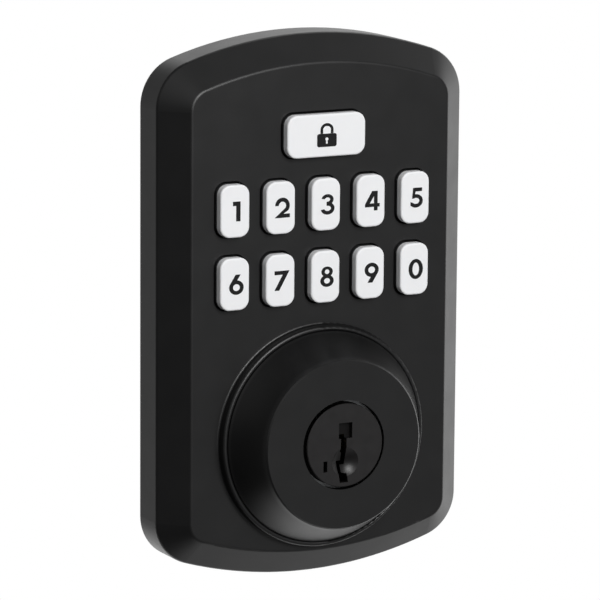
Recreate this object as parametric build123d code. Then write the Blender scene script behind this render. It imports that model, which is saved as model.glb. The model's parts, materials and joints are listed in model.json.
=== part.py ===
from build123d import *
import os
from math import cos, pi, radians, sin, sqrt

# Outside assembly of a keypad deadbolt lock, in millimetres.
# The origin is where the key cylinder's axis meets the face of the door.
# +X is to the right seen from outside, +Z is up, and the front of the lock faces -Y.
# "Depth" is the distance in front of the door's face, so it grows towards -Y.

# ---------------------------------------------------------------- case
CASE_WIDTH = 70.56
CASE_TOP_MARGIN = 16.05  # from the top key to the crown of the arched top
CASE_BOTTOM = 30.22  # crown of the arched bottom, below the cylinder axis
TOP_ARC_R = 88.0
BOTTOM_ARC_R = 91.3
TOP_CORNER_R = 10.2
BOTTOM_CORNER_R = 9.6
SIDE_DEPTH = 7.65  # straight side wall
CASE_DEPTH = 12.6  # flat front of the case
BEVEL_RUN = 5.64  # how far the sloping border reaches inwards
WALL = 2.2
SIDE_EDGE_R = 0.8
FRONT_EDGE_R = 0.9
WINDOW_EDGE_R = 0.2
LIP_RIM = 1.1  # raised bead round the collar
LIP_HEIGHT = 2.3
LIP_EDGE_R = 0.55
LIP_INNER_EDGE_R = 0.4
LIP_FOOT_R = 0.4
LIP_GAP = 0.06  # between the bead and the collar

# ---------------------------------------------------------------- key collar
GUARD_RIM = 7.1  # from the collar's spigot to its foot
GUARD_DRAW_IN = 4.42  # from the collar's foot to its front edge
GUARD_RISE = 10.96  # in front of the case
GUARD_BASE_SLOPE = 35.0  # degrees between the flare and the axis at the foot
GUARD_TIP_SLOPE = 20.0  # the same at the front edge
GUARD_EDGE = 0.3
GUARD_FACE_THICKNESS = 2.06
GUARD_SPIGOT_WALL = 1.5
GUARD_INNER_GAP = 0.3  # between the collar and the cylinder body

# ---------------------------------------------------------------- keys
KEY_COLUMNS = 5
KEY_WIDTH = 6.6
KEY_HEIGHT = 10.9
KEY_COLUMN_GAP = 3.85
KEY_ROW_GAP = 4.23
KEY_CORNER_R = 2.2
KEYPAD_BOTTOM = 28.34
KEY_ROWS = ("67890", "12345")  # from the bottom row up
LOCK_KEY_WIDTH = 18.05
LOCK_KEY_HEIGHT = 8.9
LOCK_KEY_GAP = 4.46
LOCK_KEY_CORNER_R = 2.3
KEY_PROUD = 2.3
KEY_EDGE_R = 0.4
KEY_GAP = 0.3  # between a key and its window
KEY_TRAVEL = 1.2
KEY_SKIN = 1.3
FLANGE_REACH = 0.8
FLANGE_THICKNESS = 0.8
FLANGE_GAP = 0.15
STEM_R = 1.5
CONTACT_GAP = 0.05  # left between a pressed stem and its contact

# ---------------------------------------------------------------- circuit board and mat
BOARD_BACK = 5.6
BOARD_THICKNESS = 1.6
BOARD_WALL_GAP = 2.48
BOARD_BOTTOM_REACH = 3.74  # below the lowest keys
BOARD_BOSS_GAP = 0.4
MAT_THICKNESS = 0.8
MAT_MARGIN = 1.8  # past the keys at either side
MAT_MARGIN_BOTTOM = 2.04
MAT_MARGIN_TOP = 2.47
MAT_CORNER_R = 3.0
DOME_INSET = 0.65  # from the edge of a key to the outside of its dome
DOME_WALL = 0.5
CONTACT_R = 1.9
CONTACT_THICKNESS = 0.1
LIGHT_SIZE = (1.6, 0.8, 0.6)
LIGHT_RISE = 3.0  # light above the middle of its key
BUZZER_R = 4.6
BUZZER_HEIGHT = 1.9
BUZZER_EDGE_R = 0.4
BUZZER_PORT = (0.9, 0.6)
BUZZER_PLACE = (17.0, 60.0)
CHIP_EDGE = 0.2
CHIPS = {"controller_chip": (-12.0, 52.0, 10.0, 10.0, 1.4), "memory_chip": (6.0, 46.0, 6.0, 5.0, 1.1)}
SOCKET_WIDTH = 11.0
SOCKET_HEIGHT = 5.2
SOCKET_DEPTH = 2.1
SOCKET_SLOT = (9.0, 1.3)
SOCKET_Z = 27.6

# ---------------------------------------------------------------- back
GASKET_THICKNESS = 1.6
GASKET_WIDTH = 2.6
COVER_THICKNESS = 1.6
COVER_GAP = 0.25
COVER_HOLE_GAP = 0.3
DOOR_BORE_R = 27.0  # 54 mm cross bore in the door
BORE_GAP = 0.4
RING_WALL = 1.4
RING_STEP = 0.4  # the ring is this much narrower where it stands inside the case
RING_CLEARANCE = 0.3
RING_LENGTH = 6.0
RING_LUG_WIDTH = 5.0
LUG_GAP = 0.15
POST_SPACING = 41.0
POST_R = 4.5
POST_LENGTH = 14.0  # behind the door's face
POST_SEAT = 4.5
POST_SPIGOT_R = 3.0
POST_SPIGOT_LENGTH = 4.5
POST_TAP_R = 2.1  # M5 thread, minor radius
POST_TAP_DEPTH = 15.0
POST_BOSS_R = 6.0
OUTLET_WIDTH = 12.4
OUTLET_HEIGHT = 6.4
OUTLET_Z = 19.9
OUTLET_CORNER_R = 1.5

# ---------------------------------------------------------------- screws
COVER_SCREW_R = 1.25
COVER_HEAD_R = 2.2
COVER_BOSS_R = 2.6
COVER_BOSS_INSET = 7.2  # from the case's outline, at the corners
COVER_SCREW_LENGTH = 6.0
BOARD_SCREW_R = 1.0
BOARD_HEAD_R = 1.8
BOARD_HEAD_HEIGHT = 1.2
BOARD_BOSS_R = 2.0
BOARD_SCREW_INSET = 6.98  # from the case's side
BOARD_SCREW_ZS = (30.0, 60.0)
BOARD_SCREW_LENGTH = 4.2
CLAMP_SCREW_R = 1.5
CLAMP_HEAD_R = 2.7
CLAMP_HEAD_HEIGHT = 1.8
CLAMP_INSET = 0.4  # from the middle of the collar's wall, towards the axis
CLAMP_ANGLES = (45.0, 225.0)
CLAMP_SCREW_LENGTH = 8.5
CAP_SCREW_R = 0.8
CAP_HEAD_R = 1.5
CAP_HEAD_HEIGHT = 1.0
CAP_SCREW_INSET = 0.15  # from the middle of the cap's wall, towards the axis
CAP_SCREW_GRIP = 3.5
THREAD_FIT = 0.02  # clearance drawn between a thread and its hole
SCREW_GAP = 0.1  # clearance hole round a screw
HOLE_SPARE = 0.2  # depth of a screw's hole past its tip
HEAD_ROUNDING = 0.3  # of a pan head's height
SLOT_WIDTH = 0.6
SLOT_DEPTH = 0.5
SLOT_REACH = 1.3  # length of the cross, in radii of the head

# ---------------------------------------------------------------- key cylinder
PLUG_R = 8.4
BODY_WALL = 5.0
BODY_BACK = -4.0
BODY_FRONT_GAP = 0.1
FLANGE_RIM = 2.0
FLANGE_PLATE = 2.4
EAR_R = 3.2
EAR_ROOT_R = 5.12
EAR_GAP = 0.3
PLUG_HEAD_RIM = 0.4
PLUG_OPENING_GAP = 0.62
PLUG_HEAD_LENGTH = 3.55
PLUG_PROUD = 0.45
PLUG_EDGE = 0.2
TURN_GAP = 0.05  # radial clearance of the plug in its body
NECK_STEP = 1.0  # from the plug down to its neck
NECK_END = -7.4
CLIP_RIM = 1.2
CLIP_THICKNESS = 0.8
CLIP_GROOVE = 0.9
CLIP_GROOVE_GAP = 0.05
CLIP_GAP = 0.1
CLIP_MOUTH = 8.0
SEAL_INSET = 1.9  # from the collar's foot
SEAL_R = 0.6

# Keyway: corners from the top left round to the right and back, seen from outside.
KEYWAY = (
    (-0.88, 2.13),
    (0.38, 2.13),
    (0.42, -0.9),
    (0.56, -1.4),
    (0.56, -3.0),
    (0.33, -4.2),
    (-0.73, -4.2),
    (-0.6, -5.8),
    (0.56, -6.0),
    (0.79, -7.83),
    (-1.1, -7.83),
    (-1.34, -6.25),
    (-1.72, -3.3),
    (-0.53, -3.3),
    (-0.53, -1.7),
    (-0.99, -1.3),
)
KEYWAY_BACK = -1.0
KEY_DISH_R = 3.05
KEY_DISH_DEPTH = 1.1
KEY_DISH_PLACE = (0.1, -3.53)
FACE_RECESS = (3.1, 3.3, 1.2)
FACE_RECESS_PLACE = (0.15, 3.1)
RESET_SLOT = (0.9, 2.3, 3.6)
RESET_SLOT_PLACE = (-4.5, -4.15)

# ---------------------------------------------------------------- tumblers and sidebar
TUMBLERS = 5
TUMBLER_PITCH = 3.96
FIRST_TUMBLER_BEHIND = 6.11  # first tumbler behind the plug's face
PIN_X = -0.1
PIN_R = 1.3
PIN_BOTTOM = -3.2
PIN_LENGTH = 6.0
PIN_POINT = 1.0
PIN_POINT_RISE = 0.8
PIN_WAIST = 0.3  # depth and half height of the groove round a pin
PIN_GAP = 0.05
TUMBLER_TRAVEL = 3.0
WAFER_X = (-4.9, -1.5)
WAFER_THICKNESS = 2.2
WAFER_Z = (-3.0, 3.0)
WAFER_GAP = 0.1
NOTCH_DEPTH = 0.8
NOTCH_HEIGHT = 1.2
SPRING_SEAT_Z = 7.3
SPRING_SEAT_SPARE = 0.1
SPRING_GAP = 0.1
SPRING_WALL = 0.3
SPRING_COVER_WIDTH = 4.3
SPRING_COVER_END = 0.4
SPRING_COVER_GAP = 0.05
SIDEBAR_SUNK = 0.2  # below the plug's surface, drawn in
SIDEBAR_THICKNESS = 2.2
SIDEBAR_HALF = 1.5
SIDEBAR_NOSE = 0.5
SIDEBAR_NOSE_HALF = 1.1
SIDEBAR_LENGTH = 18.0
SIDEBAR_GAP = 0.05
SIDEBAR_END_GAP = 0.15
SIDEBAR_TRAVEL = 0.9
SIDEBAR_GROOVE_GAP = 0.3
SIDEBAR_GROOVE_HALF = 1.7
SIDEBAR_SPRING_WALL = 0.2
SIDEBAR_SPRING_R = 0.6
SIDEBAR_SPRING_DEEP = 1.4
DRILL_PIN_R = 0.9
BODY_DRILL_PIN_LENGTH = 10.0
BODY_DRILL_PIN_OUTSET = 0.1  # from the middle of the body's wall
PLUG_DRILL_PIN_XS = (3.2, 5.4)
PLUG_DRILL_PIN_Z = (-4.6, 2.6)
PLUG_DRILL_PIN_BEHIND = 2.61  # behind the plug's face

# ---------------------------------------------------------------- torque blade and cap
LUG_INNER_R = 3.2
LUG_RIM = 0.2  # from the neck's outside
PLUG_LUG_ANGLE = 45.0
BLADE_LUG_ANGLE = 44.0
LUG_LENGTH = 1.8
LUG_SLACK = 0.15
BLADE_START_ANGLE = 135.0  # clock angle of the blade's lugs at rest
BLADE_HUB_R = 2.9
BLADE_LUG_ROOT = 0.3
BLADE_DISC = 1.25
BLADE_NECK_R = 5.0
BLADE_NECK_LENGTH = 2.4
BLADE_WIDTH = 7.0
BLADE_THICKNESS = 2.4
BLADE_REACH = 58.0  # behind the door's face
CAP_RIM = 0.5  # from the body's outside
CAP_CLIP_GAP = 0.6
CAP_WALL = 1.5
CAP_MOUTH_R = 5.4
CAP_SLACK = 0.3

# ---------------------------------------------------------------- worked out from the above
INNER_FRONT = CASE_DEPTH - WALL
COVER_FRONT = GASKET_THICKNESS + COVER_THICKNESS
BOARD_FRONT = BOARD_BACK + BOARD_THICKNESS
MAT_FRONT = BOARD_FRONT + MAT_THICKNESS
BOARD_INSET = WALL + BOARD_WALL_GAP
BOARD_SCREW_X = CASE_WIDTH / 2 - BOARD_SCREW_INSET
FLANGE_FRONT = INNER_FRONT - FLANGE_GAP
FLANGE_BACK = FLANGE_FRONT - FLANGE_THICKNESS
KEY_FRONT = CASE_DEPTH + KEY_PROUD
KEY_PITCH = KEY_WIDTH + KEY_COLUMN_GAP
KEY_ROW_PITCH = KEY_HEIGHT + KEY_ROW_GAP
KEYPAD_SIDE = (KEY_COLUMNS - 1) / 2 * KEY_PITCH + KEY_WIDTH / 2
KEYPAD_ROWS_TOP = KEYPAD_BOTTOM + KEY_ROW_PITCH + KEY_HEIGHT
LOCK_KEY_Z = KEYPAD_ROWS_TOP + LOCK_KEY_GAP + LOCK_KEY_HEIGHT / 2
CASE_TOP = LOCK_KEY_Z + LOCK_KEY_HEIGHT / 2 + CASE_TOP_MARGIN
BOARD_BOTTOM = KEYPAD_BOTTOM - BOARD_BOTTOM_REACH
MAT_WIDTH = 2 * (KEYPAD_SIDE + MAT_MARGIN)
MAT_BOTTOM = KEYPAD_BOTTOM - MAT_MARGIN_BOTTOM
MAT_TOP = LOCK_KEY_Z + LOCK_KEY_HEIGHT / 2 + MAT_MARGIN_TOP
PLUG_HEAD_R = PLUG_R + PLUG_HEAD_RIM
PLUG_OPENING_R = PLUG_HEAD_R + PLUG_OPENING_GAP
BODY_R = PLUG_R + BODY_WALL
FLANGE_R = BODY_R + FLANGE_RIM
NECK_R = PLUG_R - NECK_STEP
CLIP_R = PLUG_R + CLIP_RIM
CLIP_SEAT_R = NECK_R - CLIP_GROOVE
LUG_R = (LUG_INNER_R, NECK_R - LUG_RIM)
CAP_R = BODY_R - CAP_RIM
CAP_INNER_R = CLIP_R + CAP_CLIP_GAP
CAP_CIRCLE_R = (CAP_R + CAP_INNER_R) / 2 - CAP_SCREW_INSET
BODY_DRILL_PIN_CIRCLE = (PLUG_HEAD_R + BODY_R) / 2 + BODY_DRILL_PIN_OUTSET
SIDEBAR_X = (SIDEBAR_SUNK - PLUG_R, SIDEBAR_SUNK + SIDEBAR_THICKNESS - PLUG_R)
GUARD_DEPTH = CASE_DEPTH + GUARD_RISE
GUARD_CAVITY_FRONT = GUARD_DEPTH - GUARD_FACE_THICKNESS
GUARD_INNER_R = BODY_R + GUARD_INNER_GAP
GUARD_SPIGOT_R = GUARD_INNER_R + GUARD_SPIGOT_WALL
GUARD_R = GUARD_SPIGOT_R + GUARD_RIM
GUARD_FRONT_R = GUARD_R - GUARD_DRAW_IN
LIP_R = GUARD_R + LIP_RIM
CLAMP_CIRCLE_R = (GUARD_INNER_R + GUARD_R) / 2 - CLAMP_INSET
SEAL_CIRCLE_R = GUARD_R - SEAL_INSET
BODY_FRONT = GUARD_CAVITY_FRONT - BODY_FRONT_GAP
FLANGE_REAR = INNER_FRONT - FLANGE_PLATE
PLUG_FACE = GUARD_DEPTH + PLUG_PROUD
PLUG_SHOULDER = PLUG_FACE - PLUG_HEAD_LENGTH
PLUG_DRILL_PIN_DEPTH = PLUG_FACE - PLUG_DRILL_PIN_BEHIND
FIRST_TUMBLER = PLUG_FACE - FIRST_TUMBLER_BEHIND
RING_R = DOOR_BORE_R - BORE_GAP
RING_NECK_R = RING_R - RING_STEP
RING_INNER_R = RING_R - RING_WALL
BLADE_DISC_FRONT = NECK_END - LUG_LENGTH - LUG_SLACK
BLADE_DISC_BACK = BLADE_DISC_FRONT - BLADE_DISC
CAP_WALL_FRONT = BLADE_DISC_BACK - CAP_SLACK
CAP_BACK = CAP_WALL_FRONT - CAP_WALL
BORED = 1.0  # how far a cutting tool runs past the face that it opens
JOINED = 0.2  # how far a piece reaches into the one that it is joined to


def at(depth):
    """The plane parallel to the door, at a depth in front of it, with X right and Z up."""
    return Plane.XZ.offset(depth)


def plate(sketch, back, front):
    """A flat sketch made solid between two depths."""
    return extrude(at(back) * sketch, front - back)


def rod(x, z, radius, back, front):
    return plate(Pos(x, z) * Circle(radius), back, front)


def rings(outer, inner):
    return Circle(outer) - Circle(inner)


def block(x, z, width, height, back, front):
    return plate(Pos(x, z) * Rectangle(width, height), back, front)


def clock(radius, angle):
    """A place at a clock angle: degrees clockwise from the top, seen from outside."""
    return radius * sin(radians(angle)), radius * cos(radians(angle))


def sector(inner, outer, middle, width):
    """Part of a ring, round a clock angle."""
    reach = 3 * outer
    first = clock(reach, middle - width / 2)
    last = clock(reach, middle + width / 2)
    wedge = make_face(Polyline((0, 0), first, last, close=True))
    return rings(outer, inner) & wedge


def edges_at(solid, depth):
    return solid.edges().filter_by_position(Axis.Y, -depth - 0.001, -depth + 0.001)


# ---------------------------------------------------------------- the case's outline


def corner_centre(end):
    """Centre of the round corner at the top (+1) or the bottom (-1), on the right."""
    crown = CASE_TOP if end > 0 else -CASE_BOTTOM
    arc_r = TOP_ARC_R if end > 0 else BOTTOM_ARC_R
    corner_r = TOP_CORNER_R if end > 0 else BOTTOM_CORNER_R
    x = CASE_WIDTH / 2 - corner_r
    rise = sqrt((arc_r - corner_r) ** 2 - x**2)
    return Vector(x, crown - end * (arc_r - rise)), Vector(x, end * rise).normalized(), corner_r


def arch(end, inset):
    """Points of one arched end, from the right side to the crown."""
    crown = CASE_TOP if end > 0 else -CASE_BOTTOM
    centre, lean, corner_r = corner_centre(end)
    radius = corner_r - inset
    side = centre + Vector(radius, 0)
    middle = centre + (lean + Vector(1, 0)).normalized() * radius
    join = centre + lean * radius
    return side, middle, join, Vector(0, crown - end * inset)


def outline(inset=0.0):
    """The case's outline moved inwards: straight sides, arched ends and round corners."""
    side_t, middle_t, join_t, crown_t = arch(1, inset)
    side_b, middle_b, join_b, crown_b = arch(-1, inset)

    def left(point):
        return Vector(-point.X, point.Y)

    path = Line(side_b, side_t)
    path += ThreePointArc(side_t, middle_t, join_t)
    path += ThreePointArc(join_t, crown_t, left(join_t))
    path += ThreePointArc(left(join_t), left(middle_t), left(side_t))
    path += Line(left(side_t), left(side_b))
    path += ThreePointArc(left(side_b), left(middle_b), left(join_b))
    path += ThreePointArc(left(join_b), crown_b, join_b)
    path += ThreePointArc(join_b, middle_b, side_b)
    return make_face(path)


def bevel_form(inset):
    """The case's solid form, with every wall moved inwards by the same thickness."""
    slope = (CASE_DEPTH - SIDE_DEPTH) / BEVEL_RUN
    side = SIDE_DEPTH - inset * (sqrt(1 + slope**2) - slope)
    front = CASE_DEPTH - inset
    front_inset = inset + (front - side) / slope
    back = plate(outline(inset), 0, side)
    border = loft([at(side) * outline(inset), at(front) * outline(front_inset)], ruled=True)
    return back + border, side


def cover_screw_places():
    """Four places inside the round corners."""
    places = []
    for end in (1, -1):
        centre, lean, corner_r = corner_centre(end)
        outwards = (lean + Vector(1, 0)).normalized()
        place = centre + outwards * (corner_r - COVER_BOSS_INSET)
        places += [(place.X, place.Y), (-place.X, place.Y)]
    return places


def board_screw_places():
    return [(side * BOARD_SCREW_X, z) for z in BOARD_SCREW_ZS for side in (1, -1)]


def clamp_screw_places():
    return [clock(CLAMP_CIRCLE_R, angle) for angle in CLAMP_ANGLES]


def post_places():
    return [(side * POST_SPACING / 2, 0.0) for side in (1, -1)]


def key_places():
    """Every key: name, place, width, height and corner radius."""
    keys = [("key_lock", 0.0, LOCK_KEY_Z, LOCK_KEY_WIDTH, LOCK_KEY_HEIGHT, LOCK_KEY_CORNER_R)]
    for row, digits in enumerate(KEY_ROWS):
        z = KEYPAD_BOTTOM + row * KEY_ROW_PITCH + KEY_HEIGHT / 2
        for column, digit in enumerate(digits):
            x = (column - (KEY_COLUMNS - 1) / 2) * KEY_PITCH
            keys.append((f"key_{digit}", x, z, KEY_WIDTH, KEY_HEIGHT, KEY_CORNER_R))
    return keys


def key_shape(x, z, width, height, corner_r, grow):
    """A key's outline, grown or shrunk all round."""
    return Pos(x, z) * RectangleRounded(width + 2 * grow, height + 2 * grow, corner_r + grow)


# ---------------------------------------------------------------- case, collar and seals


def make_escutcheon():
    form, side = bevel_form(0.0)
    form = fillet(edges_at(form, side), SIDE_EDGE_R)
    form = fillet(edges_at(form, CASE_DEPTH), FRONT_EDGE_R)
    cavity, _ = bevel_form(WALL)
    shell = form - cavity
    for _, x, z, width, height, corner_r in key_places():
        window = key_shape(x, z, width, height, corner_r, KEY_GAP)
        shell -= plate(window, INNER_FRONT - BORED, CASE_DEPTH + BORED)
    front = shell.faces().filter_by(Axis.Y).sort_by(Axis.Y)[0]
    window_edges = [edge for wire in front.inner_wires() for edge in wire.edges()]
    shell = fillet(window_edges, WINDOW_EDGE_R)

    lip_front = CASE_DEPTH + LIP_HEIGHT
    lip = rod(0, 0, LIP_R, INNER_FRONT, lip_front)
    shell += fillet(edges_at(lip, lip_front), LIP_EDGE_R)
    foot = [edge for edge in edges_at(shell, CASE_DEPTH) if abs(edge.length - 2 * pi * LIP_R) < 0.01]
    shell = fillet(foot, LIP_FOOT_R)
    shell -= rod(0, 0, GUARD_R + LIP_GAP, CASE_DEPTH, lip_front + BORED)
    shell = fillet(edges_at(shell, lip_front).sort_by(SortBy.LENGTH)[0], LIP_INNER_EDGE_R)

    bosses = [(x, z, COVER_BOSS_R, COVER_FRONT) for x, z in cover_screw_places()]
    bosses += [(x, z, BOARD_BOSS_R, BOARD_FRONT) for x, z in board_screw_places()]
    bosses += [(x, z, POST_BOSS_R, POST_SEAT) for x, z in post_places()]
    for x, z, radius, back in bosses:
        shell += rod(x, z, radius, back, INNER_FRONT + JOINED) & form
    shell -= rod(0, 0, GUARD_SPIGOT_R + SCREW_GAP, 0, CASE_DEPTH + BORED)
    for x, z in cover_screw_places():
        end = GASKET_THICKNESS + COVER_SCREW_LENGTH + HOLE_SPARE
        shell -= rod(x, z, COVER_SCREW_R + THREAD_FIT, 0, end)
    for x, z in board_screw_places():
        shell -= rod(x, z, BOARD_SCREW_R + THREAD_FIT, 0, BOARD_BACK + BOARD_SCREW_LENGTH + HOLE_SPARE)
    for x, z in post_places():
        shell -= rod(x, z, POST_SPIGOT_R + THREAD_FIT, 0, POST_SEAT + POST_SPIGOT_LENGTH + HOLE_SPARE)
    for x, z in clamp_screw_places():
        shell -= rod(x, z, CLAMP_SCREW_R + SCREW_GAP, INNER_FRONT - BORED, CASE_DEPTH + BORED)
    return shell


def guard_profile():
    """Half section of the collar: radius against depth, with a hollow flare outside."""
    foot = Vector(GUARD_R, CASE_DEPTH + LIP_HEIGHT)
    tip = Vector(GUARD_FRONT_R, GUARD_DEPTH - GUARD_EDGE)
    base = Vector(-sin(radians(GUARD_BASE_SLOPE)), cos(radians(GUARD_BASE_SLOPE)))
    end = Vector(-sin(radians(GUARD_TIP_SLOPE)), cos(radians(GUARD_TIP_SLOPE)))
    span = tip - foot
    step = (span.X * end.Y - span.Y * end.X) / (base.X * end.Y - base.Y * end.X)
    bend = foot + base * step
    path = Bezier(foot, bend, tip)
    path += Polyline(
        tip,
        (GUARD_FRONT_R - GUARD_EDGE, GUARD_DEPTH),
        (PLUG_OPENING_R, GUARD_DEPTH),
        (PLUG_OPENING_R, GUARD_CAVITY_FRONT),
        (GUARD_INNER_R, GUARD_CAVITY_FRONT),
        (GUARD_INNER_R, INNER_FRONT),
        (GUARD_SPIGOT_R, INNER_FRONT),
        (GUARD_SPIGOT_R, CASE_DEPTH),
        (GUARD_R, CASE_DEPTH),
        foot,
    )
    return make_face(path)


def make_cylinder_guard():
    """The sketch's X is the radius and its Y the depth; it turns round the cylinder's axis."""
    section = Plane(origin=(0, 0, 0), x_dir=(1, 0, 0), z_dir=(0, 0, -1)) * guard_profile()
    guard = revolve(section, Axis.Y, 360)
    for x, z in clamp_screw_places():
        end = FLANGE_REAR + CLAMP_SCREW_LENGTH + HOLE_SPARE
        guard -= rod(x, z, CLAMP_SCREW_R + THREAD_FIT, CASE_DEPTH - BORED, end)
    groove = rings(SEAL_CIRCLE_R + SEAL_R + SCREW_GAP, SEAL_CIRCLE_R - SEAL_R - SCREW_GAP)
    guard -= plate(groove, CASE_DEPTH - BORED, CASE_DEPTH + 2 * SEAL_R + SCREW_GAP)
    return guard


def make_guard_seal():
    section = Plane(origin=(0, 0, 0), x_dir=(1, 0, 0), z_dir=(0, 0, -1)) * (
        Pos(SEAL_CIRCLE_R, CASE_DEPTH + SEAL_R) * Circle(SEAL_R)
    )
    return revolve(section, Axis.Y, 360)


def make_escutcheon_gasket():
    outer = outline(WALL + COVER_GAP)
    inner = outline(WALL + COVER_GAP + GASKET_WIDTH)
    band = outer - inner - Circle(RING_R + RING_CLEARANCE)
    return plate(band, 0, GASKET_THICKNESS)


def lug_shape(gap):
    """Four short pieces of the adapter ring that reach into the back cover."""
    wide = rings(RING_NECK_R + gap, RING_INNER_R - gap)
    bars = Sketch()
    for angle in (45, 135):
        bars += Rot(0, 0, angle) * Rectangle(4 * RING_R, RING_LUG_WIDTH + 2 * gap)
    return wide & bars


def make_back_cover():
    cover = plate(outline(WALL + COVER_GAP), GASKET_THICKNESS, COVER_FRONT)
    past = (GASKET_THICKNESS - BORED, COVER_FRONT + BORED)
    cover -= rod(0, 0, BODY_R + COVER_HOLE_GAP, *past)
    for x, z in post_places():
        cover -= rod(x, z, POST_R + COVER_HOLE_GAP, *past)
    outlet = Pos(0, OUTLET_Z) * RectangleRounded(OUTLET_WIDTH, OUTLET_HEIGHT, OUTLET_CORNER_R)
    cover -= plate(outlet, *past)
    cover -= plate(lug_shape(LUG_GAP), *past)
    for x, z in cover_screw_places():
        cover -= rod(x, z, COVER_SCREW_R + SCREW_GAP, *past)
        cover -= cover_head(x, z)
    return cover


def make_adapter_ring():
    """A ring that centres the lock in the door's bore, held by lugs in the back cover."""
    ring = plate(rings(RING_R, RING_INNER_R), -RING_LENGTH, 0)
    ring += plate(rings(RING_NECK_R, RING_INNER_R), -JOINED, GASKET_THICKNESS)
    return ring + plate(lug_shape(0.0), GASKET_THICKNESS - JOINED, COVER_FRONT)


def make_mounting_posts():
    posts = Part()
    for x, z in post_places():
        post = rod(x, z, POST_R, -POST_LENGTH, POST_SEAT)
        post += rod(x, z, POST_SPIGOT_R, POST_SEAT, POST_SEAT + POST_SPIGOT_LENGTH)
        posts += post - rod(x, z, POST_TAP_R, -POST_LENGTH - BORED, -POST_LENGTH + POST_TAP_DEPTH)
    return posts


# ---------------------------------------------------------------- screws


def cross_slot(x, z, radius, back, front):
    """The driver's cross in a screw head."""
    reach = SLOT_REACH * radius
    return block(x, z, reach, SLOT_WIDTH, back, front) + block(x, z, SLOT_WIDTH, reach, back, front)


def cover_head(x, z):
    """Countersunk head, flush with the back of the cover."""
    depth = COVER_HEAD_R - COVER_SCREW_R
    cone = loft(
        [
            at(GASKET_THICKNESS) * Pos(x, z) * Circle(COVER_HEAD_R),
            at(GASKET_THICKNESS + depth) * Pos(x, z) * Circle(COVER_SCREW_R),
        ]
    )
    return cone


def make_back_cover_screws():
    screws = Part()
    for x, z in cover_screw_places():
        screw = rod(x, z, COVER_SCREW_R, GASKET_THICKNESS, GASKET_THICKNESS + COVER_SCREW_LENGTH)
        screw += cover_head(x, z)
        screws += screw - cross_slot(x, z, COVER_HEAD_R, GASKET_THICKNESS, GASKET_THICKNESS + SLOT_DEPTH)
    return screws


def pan_screw(x, z, seat, length, radius, head_r, head_height):
    """A pan-head screw put in from behind, its head under the face at depth seat."""
    head = rod(x, z, head_r, seat - head_height, seat)
    head = fillet(edges_at(head, seat - head_height), HEAD_ROUNDING * head_height)
    screw = head + rod(x, z, radius, seat, seat + length)
    return screw - cross_slot(x, z, head_r, seat - head_height, seat - head_height + SLOT_DEPTH)


def pan_screws(places, seat, length, radius, head_r, head_height):
    screws = Part()
    for x, z in places:
        screws += pan_screw(x, z, seat, length, radius, head_r, head_height)
    return screws


def make_board_screws():
    return pan_screws(
        board_screw_places(), BOARD_BACK, BOARD_SCREW_LENGTH, BOARD_SCREW_R, BOARD_HEAD_R, BOARD_HEAD_HEIGHT
    )


def make_cylinder_screws():
    return pan_screws(
        clamp_screw_places(), FLANGE_REAR, CLAMP_SCREW_LENGTH, CLAMP_SCREW_R, CLAMP_HEAD_R, CLAMP_HEAD_HEIGHT
    )


def cap_screw_places():
    return [clock(CAP_CIRCLE_R, angle) for angle in CLAMP_ANGLES]


def make_cap_screws():
    length = BODY_BACK - CAP_BACK + CAP_SCREW_GRIP
    return pan_screws(cap_screw_places(), CAP_BACK, length, CAP_SCREW_R, CAP_HEAD_R, CAP_HEAD_HEIGHT)


# ---------------------------------------------------------------- keypad


def make_key(x, z, width, height, corner_r):
    """A hollow cap with a flange that stops behind the case and a stem over the contact."""
    cap = plate(key_shape(x, z, width, height, corner_r, 0), FLANGE_BACK, KEY_FRONT)
    cap = fillet(edges_at(cap, KEY_FRONT), KEY_EDGE_R)
    key = cap + plate(key_shape(x, z, width, height, corner_r, FLANGE_REACH), FLANGE_BACK, FLANGE_FRONT)
    hollow = key_shape(x, z, width, height, corner_r, -KEY_SKIN)
    key -= plate(hollow, FLANGE_BACK - BORED, KEY_FRONT - KEY_SKIN)
    stem_back = BOARD_FRONT + CONTACT_THICKNESS + KEY_TRAVEL + CONTACT_GAP
    return key + rod(x, z, STEM_R, stem_back, KEY_FRONT - KEY_SKIN + JOINED)


def make_key_domes():
    domes = Part()
    for _, x, z, width, height, corner_r in key_places():
        outer = key_shape(x, z, width, height, corner_r, -DOME_INSET)
        inner = key_shape(x, z, width, height, corner_r, -DOME_INSET - DOME_WALL)
        domes += plate(outer - inner, MAT_FRONT, FLANGE_BACK)
    return domes


def make_keypad_mat():
    middle = (MAT_TOP + MAT_BOTTOM) / 2
    sheet = Pos(0, middle) * RectangleRounded(MAT_WIDTH, MAT_TOP - MAT_BOTTOM, MAT_CORNER_R)
    for _, x, z, width, height, corner_r in key_places():
        sheet -= key_shape(x, z, width, height, corner_r, -DOME_INSET - DOME_WALL)
    return plate(sheet, BOARD_FRONT, MAT_FRONT)


def make_keypad_board():
    tall = CASE_TOP - BOARD_BOTTOM
    band = Pos(0, BOARD_BOTTOM + tall / 2) * Rectangle(CASE_WIDTH, tall)
    shape = outline(BOARD_INSET) & band
    for x, z in cover_screw_places():
        shape -= Pos(x, z) * Circle(COVER_BOSS_R + BOARD_BOSS_GAP)
    for x, z in board_screw_places():
        shape -= Pos(x, z) * Circle(BOARD_SCREW_R + SCREW_GAP)
    return plate(shape, BOARD_BACK, BOARD_FRONT)


def make_board_contacts():
    contacts = Part()
    for _, x, z, *_ in key_places():
        contacts += rod(x, z, CONTACT_R, BOARD_FRONT, BOARD_FRONT + CONTACT_THICKNESS)
    return contacts


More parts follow.
